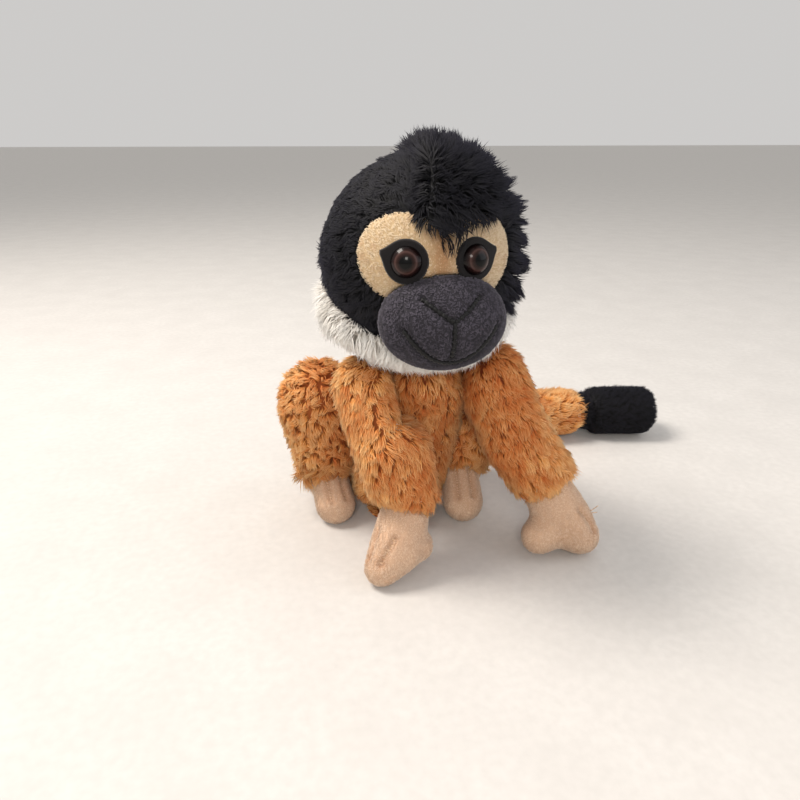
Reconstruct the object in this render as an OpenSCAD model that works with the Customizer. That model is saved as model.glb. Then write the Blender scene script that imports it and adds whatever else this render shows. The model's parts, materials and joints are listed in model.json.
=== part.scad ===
// Soft squirrel monkey toy, crouching on its seat with its arms in front.
// It faces -Y with +Z up, and its own right side is -X. The origin is the
// centre of the flat seat panel, on the surface that the toy sits on.

/* [Head] */
// Half the width of the head's sewn skin
head_rx = 35.5; // [33:0.5:38]
// Half the depth of the head's sewn skin
head_ry = 37; // [34:0.5:38]
// Half the height of the head's sewn skin
head_rz = 35.5; // [33:0.5:37]
// Height of the head's centre above the seat
head_z = 138; // [136:0.5:140]
// How far the crest gusset stands above the hood's side panels
crest_rise = 4; // [3:0.5:6]
// Width of the crest gusset
crest_w = 26; // [22:1:28]
// Distance between the centres of the two eyes
eye_gap = 24; // [23:0.5:26]
// Radius of the domed plastic eye
eye_r = 5.6; // [5:0.1:6.2]
// Half the width of the muzzle
muzzle_rx = 23; // [21:0.5:24]
// Half the height of the muzzle
muzzle_rz = 17.5; // [16:0.5:19]

/* [Body] */
// Radius of the stuffed rump
rump_r = 27; // [25:0.5:29]
// Radius of the domed top of the torso that the neck turns on
neck_r = 17; // [15:0.5:18]
// Radius of the flat seat panel
seat_r = 17; // [14:0.5:19]

/* [Limbs] */
// Radius of an arm at the shoulder
shoulder_r = 14; // [12:0.5:15]
// Radius of an arm at its cuff
cuff_r = 13.5; // [13:0.5:14.5]
// Radius of a bent knee
knee_r = 18.5; // [17:0.5:19]
// Radius of the tail's sleeve
tail_r = 13.5; // [12:0.5:14]

/* [Cloth and thread] */
// Thickness of the pile fabric's backing and lining
skin_t = 1.4; // [1:0.1:1.8]
// Radius of the embroidery and sewing thread
thread_r = 0.45; // [0.3:0.05:0.6]
// Clearance between parts that move on each other
joint_gap = 0.5; // [0.3:0.05:0.8]

/* [Hidden] */

$fn = 48;
// Facets round the torso, a hulled limb, and the hollow inside a sleeve
torso_fn = 26;
soft_fn = 22;
inner_fn = 16;
// Gap between two pieces that are sewn or packed together
seam_gap = 0.2;
// A size larger than the whole toy, and one larger than a limb, for cutting
far = 400;
cutter = 30;

RIGHT = -1;
LEFT = 1;

// Places in the toy: the joints, then the shapes between them. The chest
// leans a little towards the left arm, which is splayed out to the side.
head_at = [-1, -37, head_z];
muzzle_at = head_at + [1.5, -33.5, -19];
muzzle_ry = 16.5;
neck_at = [3, -30, 80];
rump_at = [-1, 8, 26];
chest_at = [5, -22, 76];
chest_size = [17.9, 14, 17];
back_seam_x = 2;
crest_x = 4;
// The crest gusset runs straight up to the brow, then leans to the left
brow_z = head_z + 10;
crest_top_z = head_z + 45;
crest_lean = 10.5;
shoulder_x = 18.4;
shoulder_z = 80;
// Heights and radii of the discs that the throat ruff is hulled through
ruff_foot = [96.5, 17];
ruff_flare = [100, 24];
ruff_rim = [112, 35];
hip_x = 22;

// Each limb is a list of the centres that it is hulled through
arm_right_path = [[-20, -32, 80], [-13.5, -49, 57.5], [-8, -48.5, 33]];
arm_left_path = [[35, -31, 80.5], [44, -41, 56], [59, -45, 33]];
hand_right_path = [[-8.5, -49.5, 26], [-13, -56, 15], [-21, -61.2, 7.6]];
hand_left_path = [[61, -47, 26.5], [66.5, -53, 15.5], [73.5, -57, 8.6]];
thumb_right_at = [-4, -55, 13];
thumb_left_at = [53, -56, 10.5];
leg_right_path = [[-34, 18, 30], [-39, 4, 62], [-36, 3, 22]];
leg_left_path = [[34, 18, 30], [38, 1, 60], [31, -6, 22]];
foot_right_path = [[-36, 3, 18], [-34.5, -6, 9]];
foot_left_path = [[30, -7, 18], [29, -17, 9]];
tail_root_at = [8, 41, 17];
tail_seam_at = [135, 65, 14.5];
tail_end_at = [175, 57, 14.5];

// A sleeve's mouth stops this far behind the middle of the ball in it
mouth_back = 3.6;
cuff_ball_r = 10.5;
ankle_ball_r = 9;
ankle_r = 12;
tail_ball_r = 10.5;
thumb_r = 7.2;
tail_corner_r = 6;

// Radii of the balls along each limb, and the tail's path from the rump:
// it goes backwards at first and then swings round to the left
arm_radii = [shoulder_r, 14.2, cuff_r];
hand_radii = [cuff_ball_r, 11.8, 7.6];
leg_radii = [16, knee_r, ankle_r];
foot_radii = [ankle_ball_r, 9.5];
tail_path = [tail_root_at, [40, 58, 15.5], [86, 67, 14.5], tail_seam_at];
tail_radii = [tail_ball_r, 12, tail_r, tail_r];

// How much wider than the limb its notch in the torso is
shoulder_room = 6;
hip_room = 18;

// Wall of the neck tube, and the cup in the head that turns round it
neck_wall = 2;
neck_cup_r = neck_r + 2 * joint_gap + neck_wall;

// Plastic-pellet pouch, low in the rump so that the toy sits by itself
pouch_r = 14;
pouch_at = rump_at - [0, 2, 6];

// Round windows in the hood, and the slope of its lower edge
window_r = 14.5;
window_rise = 3;
bridge_size = [34, 60, 18];
throat_drop = 15;
throat_slope = 38;

// An eye's height above the head's centre, its turn outward and its tilt
eye_rise = 2.5;
eye_turn = 17;
eye_tilt = 86;
eye_dome_h = 3.4;
eye_proud = 1.6;
shank_r = 1.9;
shank_l = 9;
patch_proud = 0.45;
patch_t = 0.9;
washer_r = 6.3;
washer_t = 1.2;
washer_depth = 5.2;
finger_spread = 24;

function side_path(side, right_path, left_path) = side == RIGHT ? right_path : left_path;
function unit(v) = v / norm(v);
function ellipsoid_y(at, size, x, z) =
    at[1] - size[1] * sqrt(1 - pow((x - at[0]) / size[0], 2) - pow((z - at[2]) / size[2], 2));

// ---------- shared shapes ----------

module ellipsoid(at, size) {
    translate(at) scale(size) sphere(r = 1, $fn = $fn);
}

// Hulled balls along a path, each ball with its own radius
module limb(path, radii, fn = soft_fn) {
    for (i = [0 : len(path) - 2])
        hull() {
            translate(path[i]) sphere(r = radii[i], $fn = fn);
            translate(path[i + 1]) sphere(r = radii[i + 1], $fn = fn);
        }
}

// A round rod from one point to another
module rod(from, to, r) {
    v = to - from;
    length = norm(v);
    tilt = acos(v[2] / length);
    turn = atan2(v[1], v[0]);
    translate(from) rotate([0, tilt, turn]) cylinder(r = r, h = length, $fn = 16);
}

// Straight thread stitches through a list of points, with a gap between each
module stitches(points, r = thread_r) {
    for (i = [0 : len(points) - 2]) {
        step = unit(points[i + 1] - points[i]);
        rod(points[i] + step * 1.3 * r, points[i + 1] - step * 1.3 * r, r);
    }
}

// Cuts a limb's end open for the ball that starts the next path. The mouth
// stops short of the ball's middle, so that the next piece can swing.
module socket(path, ball_r, inset) {
    v = unit(path[1] - path[0]);
    translate(path[0]) sphere(r = ball_r + joint_gap + inset);
    translate(path[0] - v * (mouth_back + inset)) rotate([0, acos(v[2]), atan2(v[1], v[0])])
        cylinder(r = cutter, h = 2 * cutter);
}

// Everything on one side of the plane X = x
module half_space(side, x) {
    translate([side * (x + far / 2), 0, 0]) cube(far, center = true);
}

module above_ground(height = 0) {
    translate([0, 0, far / 2 + height]) cube([far, far, far], center = true);
}

// ---------- torso ----------

module torso_form(inset) {
    difference() {
        hull() {
            translate(rump_at) sphere(r = rump_r - inset, $fn = torso_fn);
            translate(chest_at) scale(chest_size - [inset, inset, inset]) sphere(r = 1, $fn = torso_fn);
            translate(neck_at + [0, 3, 3]) sphere(r = neck_r - 4 - inset, $fn = torso_fn);
        }
        // Flat underside, round notches for the arms and legs, the tail's socket
        translate([0, 0, skin_t + seam_gap + inset - far / 2]) cube(far, center = true);
        for (side = [RIGHT, LEFT]) {
            translate([chest_at[0] + side * (shoulder_x - joint_gap - inset), neck_at[1], shoulder_z])
                rotate([0, side * 90, 0]) cylinder(r = shoulder_r + shoulder_room + inset, h = cutter);
            translate([side * (hip_x - joint_gap - inset), 10, 34])
                rotate([0, side * 90, 0]) cylinder(r = rump_r + hip_room + inset, h = cutter);
        }
        translate(tail_root_at) sphere(r = tail_ball_r + joint_gap + inset);
    }
}

module torso_skin() {
    difference() {
        torso_form(0);
        torso_form(skin_t);
    }
}

// The region that the chest panel covers: a strip up the front
module chest_region(grow) {
    translate([chest_at[0] / 2, -far / 2 - 8 + grow, far / 2 + 6])
        cube([22 + 2 * grow, far, far], center = true);
}

module seat_panel() {
    color("darkgoldenrod") cylinder(r = seat_r, h = skin_t);
}

module back_panel(side) {
    color("orange") intersection() {
        difference() {
            torso_skin();
            chest_region(seam_gap);
        }
        half_space(side, side * back_seam_x + seam_gap / 2);
    }
}

module chest_panel() {
    color("sienna") intersection() {
        torso_skin();
        chest_region(0);
    }
}

module torso_stuffing() {
    color("white") difference() {
        torso_form(skin_t + seam_gap);
        translate(pouch_at) sphere(r = pouch_r + seam_gap);
    }
}

module pellet_pouch() {
    color("lightgray") translate(pouch_at) sphere(r = pouch_r);
}

// Ladder stitches that close the back seam once the toy is stuffed
module closing_seam() {
    color("peru") for (k = [0 : 7]) {
        t = (k + 1.5) / 10;
        lean = unit(chest_at - rump_at);
        outward = unit([0, lean[2], -lean[1]]);
        on_axis = rump_at + (chest_at - rump_at) * t;
        skin_r = rump_r + (chest_size[1] + 2.4 - rump_r) * t;
        at = [back_seam_x, on_axis[1], on_axis[2]] + outward * (skin_r + thread_r + 0.9);
        rod(at - [1.9, 0, 0], at + [1.9, 0, 0], thread_r);
    }
}

// Blank folded ribbon sewn into the seam beside the tail
module care_label() {
    label_at = [-9, 40.5, 37];
    color("white") translate(label_at) rotate([-12, 0, -14]) difference() {
        cube([10, 13, 1.1], center = true);
        translate([0, -1, 0]) cube([11, 11.6, 0.5], center = true);
    }
}

// ---------- neck ----------

module neck_tube() {
    color("ivory") translate(neck_at) difference() {
        intersection() {
            sphere(r = neck_r + joint_gap + neck_wall);
            translate([0, 0, 13.2]) cylinder(r = 14.2, h = 20);
        }
        sphere(r = neck_r + joint_gap);
    }
}

// ---------- head ----------

module head_form(grow) {
    ellipsoid(head_at, [head_rx, head_ry, head_rz] + [grow, grow, grow]);
}

module muzzle_form(grow) {
    ellipsoid(muzzle_at, [muzzle_rx, muzzle_ry, muzzle_rz] + [grow, grow, grow]);
}

// Two round windows round the eyes, joined over the nose
module mask_region(grow) {
    for (side = [RIGHT, LEFT])
        translate([side * (eye_gap / 2 + 1), head_at[1] - 8, head_z + window_rise]) rotate([90, 0, 0])
            cylinder(r = window_r + grow, h = 2 * cutter);
    translate([0, head_at[1] - 38, head_z - 8]) cube(bridge_size + 2 * grow * [1, 0, 1], center = true);
}

// The part of the head that the white throat covers: cut on a slope, with a
// strip that goes up under the chin between the hood's two cheek lobes
module throat_region(grow) {
    edge_z = head_z - throat_drop + grow;
    intersection() {
        union() {
            translate([0, head_at[1], edge_z]) rotate([throat_slope, 0, 0])
                translate([0, 0, -far / 2]) cube(far, center = true);
            translate([crest_x, 0, 0]) cube([crest_w + 2 * grow, far, far], center = true);
        }
        translate([0, 0, edge_z - far / 2]) cube(far, center = true);
    }
}

module hood_skin(rise) {
    difference() {
        head_form(rise);
        head_form(-skin_t);
        mask_region(seam_gap);
        muzzle_form(seam_gap);
        throat_region(seam_gap);
    }
}

module hood_side(side) {
    color("midnightblue") intersection() {
        difference() {
            hood_skin(0);
            crest_region(seam_gap);
        }
        half_space(side, side * crest_x);
    }
}

// The strip over the head that the crest gusset covers
module crest_region(grow) {
    half = crest_w / 2 + grow;
    translate([crest_x, far / 2, 0]) rotate([90, 0, 0]) linear_extrude(far)
        polygon([[-half, head_z - throat_drop], [-half, brow_z], [crest_lean - half, crest_top_z],
                 [crest_lean + half, crest_top_z], [half, brow_z], [half, head_z - throat_drop]]);
}

module hood_crest() {
    color("black") intersection() {
        hood_skin(crest_rise);
        crest_region(0);
    }
}

module face_mask() {
    color("wheat") difference() {
        intersection() {
            head_form(0);
            mask_region(0);
        }
        head_form(-skin_t);
        muzzle_form(seam_gap);
        for (side = [RIGHT, LEFT]) eye_place(side) cylinder(r = shank_r + 0.4, h = 20, center = true);
    }
}

// White throat and cheek fur: a flared ring between the head and the neck
module throat_ruff() {
    color("white") difference() {
        intersection() {
            hull() {
                translate([neck_at[0], neck_at[1], ruff_foot[0]])
                    cylinder(r = ruff_foot[1], h = 1, $fn = 40);
                translate([neck_at[0], neck_at[1] - 2, ruff_flare[0]])
                    cylinder(r = ruff_flare[1], h = 1, $fn = 40);
                translate([head_at[0], head_at[1] + 1, ruff_rim[0]])
                    cylinder(r = ruff_rim[1], h = 11, $fn = 40);
            }
            throat_region(-seam_gap);
        }
        head_form(seam_gap);
        muzzle_form(seam_gap);
        translate(neck_at) sphere(r = neck_cup_r);
    }
}

module head_stuffing() {
    color("white") difference() {
        head_form(-skin_t - seam_gap);
        translate(neck_at) sphere(r = neck_cup_r);
        for (side = [RIGHT, LEFT])
            eye_place(side) translate([0, 0, -9.5]) cylinder(r = 7.2, h = 30);
    }
}

module muzzle() {
    color("slategray") difference() {
        muzzle_form(0);
        muzzle_form(-skin_t);
        head_form(seam_gap);
        mask_clear();
    }
}

module mask_clear() {
    for (side = [RIGHT, LEFT])
        eye_place(side) translate([0, 0, 0.2]) cylinder(r = eye_r + 2.2, h = 8);
}

module muzzle_stuffing() {
    color("white") difference() {
        muzzle_form(-skin_t - seam_gap);
        head_form(seam_gap);
        mask_clear();
    }
}

function on_muzzle(x, z) =
    [x, ellipsoid_y(muzzle_at, [muzzle_rx, muzzle_ry, muzzle_rz], x, z) - thread_r - 0.25, z];

// The V of the nose and the line down to the mouth
module nose_stitching() {
    nose_z = muzzle_at[2] + 3.5;
    color("black") {
        for (side = [RIGHT, LEFT])
            stitches([for (k = [0 : 5]) on_muzzle(muzzle_at[0] + side * (1 + 1.9 * k), nose_z + 0.6 + 1.5 * k)]);
        stitches([for (k = [0 : 6]) on_muzzle(muzzle_at[0], nose_z - 0.6 - 1.9 * k)]);
    }
}

// The mouth: a shallow curve that turns up at both ends
module smile_stitching() {
    mouth_z = muzzle_at[2] - 12.2;
    color("black") for (side = [RIGHT, LEFT])
        stitches([for (k = [0 : 7]) let (x = 0.8 + 2.2 * k)
            on_muzzle(muzzle_at[0] + side * x, mouth_z + 0.045 * x * x)]);
}

// ---------- eyes ----------

// Puts a child on the head's skin at an eye, with +Z pointing outward
module eye_place(side) {
    x = side * eye_gap / 2;
    y = -head_ry * sqrt(1 - pow(x / head_rx, 2) - pow(eye_rise / head_rz, 2));
    translate(head_at + [x, y, eye_rise]) rotate([0, 0, side * eye_turn])
        rotate([eye_tilt, 0, 0]) children();
}

module eye(side) {
    ball_r = (eye_r * eye_r + eye_dome_h * eye_dome_h) / (2 * eye_dome_h);
    color("saddlebrown") eye_place(side) translate([0, 0, eye_proud]) {
        intersection() {
            translate([0, 0, eye_dome_h - ball_r]) sphere(r = ball_r);
            cylinder(r = eye_r + 1, h = eye_dome_h + 1);
        }
        translate([0, 0, -shank_l]) cylinder(r = shank_r, h = shank_l + 0.5);
    }
}

// Felt surround with a point at its outer corner
module eye_patch(side) {
    color("black") eye_place(side) translate([0, 0, patch_proud]) difference() {
        union() {
            cylinder(r = eye_r + 1.8, h = patch_t);
            linear_extrude(patch_t)
                polygon([[side * 5, 5.2], [side * 10.5, 3.4], [side * 6.6, -1.5], [0, 0]]);
        }
        translate([0, 0, -1]) cylinder(r = shank_r + 0.4, h = 4);
    }
}

module eye_washer(side) {
    color("white") eye_place(side) translate([0, 0, -washer_depth]) difference() {
        cylinder(r = washer_r, h = washer_t);
        translate([0, 0, -1]) cylinder(r = shank_r + 0.1, h = 4);
    }
}

// ---------- arms ----------

function arm_path(side) = side_path(side, arm_right_path, arm_left_path);
function hand_path(side) = side_path(side, hand_right_path, hand_left_path);
function thumb_at(side) = side_path(side, thumb_right_at, thumb_left_at);

module arm_form(side, inset, fn) {
    difference() {
        limb(arm_path(side), arm_radii - [inset, inset, inset], fn);
        // Flat face against the torso's side, and the hand's socket
        translate([chest_at[0] + side * (shoulder_x + inset - 20), neck_at[1], shoulder_z + 1])
            cube([40, 46, 34], center = true);
        socket(hand_path(side), cuff_ball_r, inset);
    }
}

module arm_sleeve(side) {
    color("orange") difference() {
        arm_form(side, 0, soft_fn);
        arm_form(side, skin_t, inner_fn);
    }
}

module arm_stuffing(side) {
    color("white") arm_form(side, skin_t + 3 * seam_gap, inner_fn);
}

module hand_form(side, inset) {
    intersection() {
        union() {
            limb(hand_path(side), hand_radii - [inset, inset, inset], inner_fn);
            hull() {
                translate(thumb_at(side)) sphere(r = thumb_r - inset, $fn = inner_fn);
                translate(hand_path(side)[1]) sphere(r = thumb_r + 2 - inset, $fn = inner_fn);
            }
        }
        above_ground(inset);
    }
}

module hand(side) {
    color("bisque") difference() {
        hand_form(side, 0);
        hand_form(side, skin_t);
    }
}

module hand_stuffing(side) {
    color("white") hand_form(side, skin_t + 2 * seam_gap);
}

// Two short lines that part the fingers, sewn through the tip of a hand or foot
module digit_lines(knuckle, tip, knuckle_r, tip_r) {
    along = unit(tip - knuckle);
    across = unit(cross(along, [0, 0, 1]));
    up = cross(across, along);
    color("peru") for (lane = [-1, 1])
        stitches([for (k = [0 : 3])
            let (t = 0.45 + 0.55 * k / 3, r = knuckle_r + (tip_r - knuckle_r) * t + thread_r + 0.7)
            knuckle + (tip - knuckle) * t
                + (across * lane * sin(finger_spread) + up * cos(finger_spread)) * r]);
}

module finger_stitching(side) {
    digit_lines(hand_path(side)[1], hand_path(side)[2], hand_radii[1], hand_radii[2]);
}

// ---------- legs ----------

function leg_path(side) = side_path(side, leg_right_path, leg_left_path);
function foot_path(side) = side_path(side, foot_right_path, foot_left_path);

module leg_form(side, inset, fn) {
    difference() {
        intersection() {
            limb(leg_path(side), leg_radii - [inset, inset, inset], fn);
            half_space(side, hip_x + inset);
            above_ground(1 + inset);
        }
        socket(foot_path(side), ankle_ball_r, inset);
    }
}

module leg_sleeve(side) {
    color("goldenrod") difference() {
        leg_form(side, 0, soft_fn);
        leg_form(side, skin_t, inner_fn);
    }
}

module leg_stuffing(side) {
    color("white") leg_form(side, skin_t + 3 * seam_gap, inner_fn);
}

module foot(side) {
    color("bisque") intersection() {
        limb(foot_path(side), foot_radii, inner_fn);
        above_ground();
    }
}

module toe_stitching(side) {
    digit_lines(foot_path(side)[0], foot_path(side)[1], foot_radii[0], foot_radii[1]);
}

// ---------- tail ----------

module tail_form(inset, fn) {
    difference() {
        limb(tail_path, tail_radii - [inset, inset, inset, inset], fn);
        translate(tail_seam_at) sphere(r = tail_ball_r + joint_gap + inset);
        tail_cut(tail_seam_at, inset);
    }
}

// Everything past a point along the tail's last stretch
module tail_cut(at, back) {
    v = unit(tail_end_at - tail_seam_at);
    translate(at - v * back) rotate([0, 90, atan2(v[1], v[0])])
        cylinder(r = 2 * cutter, h = 4 * cutter);
}

module tail_sleeve() {
    color("orange") difference() {
        tail_form(0, soft_fn);
        tail_form(skin_t, inner_fn);
    }
}

module tail_stuffing() {
    color("white") tail_form(skin_t + 3 * seam_gap, inner_fn);
}

module tail_tip_form(inset) {
    v = unit(tail_end_at - tail_seam_at);
    turn = atan2(v[1], v[0]);
    length = norm(tail_end_at - tail_seam_at);
    translate(tail_seam_at) rotate([0, 90, turn]) rotate_extrude()
        tail_tip_outline(3.4 + inset, length - inset, tail_r + 0.4 - inset, tail_ball_r - inset);
}

// Half the tip's outline: the ball at the seam, then the blunt end
module tail_tip_outline(start, length, r, ball_r) {
    corner = tail_corner_r;
    intersection() {
        union() {
            circle(r = ball_r);
            translate([-r, start]) square([2 * r, length - start - corner]);
            translate([-r + corner, start]) square([2 * (r - corner), length - start]);
            for (x = [corner - r, r - corner])
                translate([x, length - corner]) circle(r = corner);
        }
        translate([0, -far / 2]) square(far);
    }
}

module tail_tip() {
    color("black") difference() {
        tail_tip_form(0);
        tail_tip_form(skin_t);
    }
}

module tail_tip_stuffing() {
    color("white") tail_tip_form(skin_t + seam_gap);
}

// Thread button that gathers the tail's blunt end
module tail_tip_gather() {
    v = unit(tail_end_at - tail_seam_at);
    color("dimgray") rod(tail_end_at + v * 0.3, tail_end_at + v * 1.5, 2);
}

seat_panel();
back_panel(RIGHT);  // back_panel_right
back_panel(LEFT);  // back_panel_left
chest_panel();
torso_stuffing();
pellet_pouch();
closing_seam();
care_label();
neck_tube();
hood_side(RIGHT);  // hood_right
hood_side(LEFT);  // hood_left
hood_crest();
face_mask();
throat_ruff();
head_stuffing();
muzzle();
muzzle_stuffing();
nose_stitching();
smile_stitching();
eye(RIGHT);  // eye_right
eye(LEFT);  // eye_left
eye_patch(RIGHT);  // eye_patch_right
eye_patch(LEFT);  // eye_patch_left
eye_washer(RIGHT);  // eye_washer_right
eye_washer(LEFT);  // eye_washer_left
arm_sleeve(RIGHT);  // arm_sleeve_right
arm_sleeve(LEFT);  // arm_sleeve_left
arm_stuffing(RIGHT);  // arm_stuffing_right
arm_stuffing(LEFT);  // arm_stuffing_left
hand(RIGHT);  // hand_right
hand(LEFT);  // hand_left
hand_stuffing(RIGHT);  // hand_stuffing_right
hand_stuffing(LEFT);  // hand_stuffing_left
finger_stitching(RIGHT);  // finger_stitching_right
finger_stitching(LEFT);  // finger_stitching_left
leg_sleeve(RIGHT);  // leg_sleeve_right
leg_sleeve(LEFT);  // leg_sleeve_left
leg_stuffing(RIGHT);  // leg_stuffing_right
leg_stuffing(LEFT);  // leg_stuffing_left
foot(RIGHT);  // foot_right
foot(LEFT);  // foot_left
toe_stitching(RIGHT);  // toe_stitching_right
toe_stitching(LEFT);  // toe_stitching_left
tail_sleeve();
tail_stuffing();
tail_tip();
tail_tip_stuffing();
tail_tip_gather();
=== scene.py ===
"""Looks of a soft squirrel monkey toy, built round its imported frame.

The toy faces -Y with +Z up, and its own right side is -X. Sizes held in the
classes, and points called so, are in millimetres; finished meshes in metres.
"""

import json
import logging
import math
from collections.abc import Callable, Sequence
from dataclasses import dataclass, replace
from enum import Enum
from functools import lru_cache

import bpy
import numpy as np
from mathutils import Matrix, Vector, kdtree
from mathutils.bvhtree import BVHTree


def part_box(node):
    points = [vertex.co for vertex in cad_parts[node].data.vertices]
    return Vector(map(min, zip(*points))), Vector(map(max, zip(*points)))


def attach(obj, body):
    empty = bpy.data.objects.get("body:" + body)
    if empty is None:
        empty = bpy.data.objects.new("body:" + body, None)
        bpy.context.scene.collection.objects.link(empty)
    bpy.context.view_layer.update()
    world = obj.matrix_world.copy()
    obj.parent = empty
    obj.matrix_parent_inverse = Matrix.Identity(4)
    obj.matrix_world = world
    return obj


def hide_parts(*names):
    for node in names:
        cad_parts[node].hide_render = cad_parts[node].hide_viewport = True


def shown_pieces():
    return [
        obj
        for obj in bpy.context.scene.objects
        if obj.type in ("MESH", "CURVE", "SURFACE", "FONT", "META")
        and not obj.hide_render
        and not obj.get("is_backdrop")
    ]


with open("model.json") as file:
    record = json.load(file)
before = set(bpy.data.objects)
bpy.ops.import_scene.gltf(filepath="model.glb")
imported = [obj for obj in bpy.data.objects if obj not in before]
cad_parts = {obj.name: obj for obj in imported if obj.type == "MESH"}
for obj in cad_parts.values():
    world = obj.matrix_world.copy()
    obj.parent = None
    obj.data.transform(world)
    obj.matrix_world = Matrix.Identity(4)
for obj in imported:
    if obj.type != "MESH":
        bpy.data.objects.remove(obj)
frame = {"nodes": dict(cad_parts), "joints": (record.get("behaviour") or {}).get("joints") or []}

LOG = logging.getLogger("monkey")
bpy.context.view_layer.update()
MM = 0.001
# Soft pieces are remeshed and stuffed at twenty times their size, where cloth
# acts as it does on a cushion
BENCH = 20.0
# Name of the UV layer that gives a tuft's tint across and its height up
PILE_UV = "OFBake"
# Sockets of a colour Mix node, whose names repeat
MIX_FACTOR, MIX_A, MIX_B, MIX_COLOUR = 0, 6, 7, 2
# Heights up a fibre at which its root, middle and tip colours stand
RAMP_STOPS = (0.05, 0.5, 0.95)
# Tints stay between these, so that no tuft shows a ramp's very end
TINTS = (0.06, 0.94)
# Millimetres that skins and tufts keep above the floor
SKIN_LIFT, TUFT_LIFT = 0.1, 0.05
# Steps of the simulation that stuffs a skin
STUFFING_STEPS = 20

Field = Callable[[np.ndarray], np.ndarray]
Keep = Callable[[np.ndarray, np.ndarray], np.ndarray]


class Side(Enum):
    """The toy's own right and left."""

    RIGHT = -1
    LEFT = 1

    @property
    def word(self) -> str:
        """The side as it ends a piece's name."""
        return self.name.lower()


# ---------- colour and nodes ----------


def linear(code: str) -> tuple[float, float, float, float]:
    """Turns an sRGB hex colour into linear RGBA.

    Args:
        code: Six hex digits after a hash.

    Returns:
        The colour in linear light, with alpha 1.
    """
    parts = [int(code[i : i + 2], 16) / 255 for i in (1, 3, 5)]
    light = [c / 12.92 if c <= 0.04045 else ((c + 0.055) / 1.055) ** 2.4 for c in parts]
    return (*light, 1.0)


def add_node(
    material: bpy.types.Material,
    kind: str,
    inputs: dict | None = None,
    stops: Sequence[tuple[float, str]] = (),
    **settings: object,
) -> bpy.types.Node:
    """Adds one node to a material, with its settings, values and links.

    Args:
        material: The material whose tree takes the node.
        kind: The node's type.
        inputs: A value, or a socket to link from, for each input.
        stops: Place and hex colour of each stop of a colour ramp.
        **settings: Properties of the node.

    Returns:
        The new node.
    """
    tree = material.node_tree
    node = tree.nodes.new(kind)
    for key, value in settings.items():
        setattr(node, key, value)
    for key, value in (inputs or {}).items():
        if isinstance(value, bpy.types.NodeSocket):
            tree.links.new(value, node.inputs[key])
        else:
            node.inputs[key].default_value = value
    for index, (place, code) in enumerate(stops):
        elements = node.color_ramp.elements
        element = elements[index] if index < 2 else elements.new(place)
        element.position = place
        element.color = linear(code)
    return node


def new_material(name: str) -> bpy.types.Material:
    """Makes an empty node material with its output.

    Args:
        name: The material's name.

    Returns:
        The material, whose tree holds one output node.
    """
    material = bpy.data.materials.new(name)
    material.use_nodes = True
    material.node_tree.nodes.clear()
    add_node(material, "ShaderNodeOutputMaterial", name="Surface")
    return material


def set_surface(material: bpy.types.Material, inputs: dict) -> None:
    """Gives a material its shader.

    Args:
        material: The material.
        inputs: A value, or a socket to link from, for each of the shader's inputs.
    """
    shader = add_node(material, "ShaderNodeBsdfPrincipled", inputs)
    output = material.node_tree.nodes["Surface"]
    material.node_tree.links.new(shader.outputs[0], output.inputs[0])


@dataclass(frozen=True)
class PileFinish:
    """Dyed polyester pile. Light sinks between the fibres, so roots are dark.

    Attributes:
        name: The material's name.
        shade: Root, middle and tip colours of the darkest tufts.
        light: The same of the palest tufts.
        sheen: How strongly the fibre ends catch light from the side.
        sheen_colour: Colour of that light.
        roughness: Roughness of the fibres.
    """

    name: str
    shade: tuple[str, str, str]
    light: tuple[str, str, str]
    sheen: float
    sheen_colour: str
    roughness: float = 0.72

    @lru_cache
    def material(self) -> bpy.types.Material:
        """Builds the material once.

        Returns:
            A material that reads a tuft's tint and height from its UV map.
        """
        made = new_material(self.name)
        uv = add_node(made, "ShaderNodeUVMap", uv_map=PILE_UV)
        axes = add_node(made, "ShaderNodeSeparateXYZ", {0: uv.outputs[0]})
        ramps = [
            add_node(made, "ShaderNodeValToRGB", {0: axes.outputs["Y"]}, stops=list(zip(RAMP_STOPS, dye)))
            for dye in (self.shade, self.light)
        ]
        dyes = {MIX_FACTOR: axes.outputs["X"], MIX_A: ramps[0].outputs[0], MIX_B: ramps[1].outputs[0]}
        colour = add_node(made, "ShaderNodeMix", dyes, data_type="RGBA")
        set_surface(
            made,
            {
                "Base Color": colour.outputs[MIX_COLOUR],
                "Roughness": self.roughness,
                "Specular IOR Level": 0.3,
                "Sheen Weight": self.sheen,
                "Sheen Roughness": 0.4,
                "Sheen Tint": linear(self.sheen_colour),
            },
        )
        return made


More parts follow.
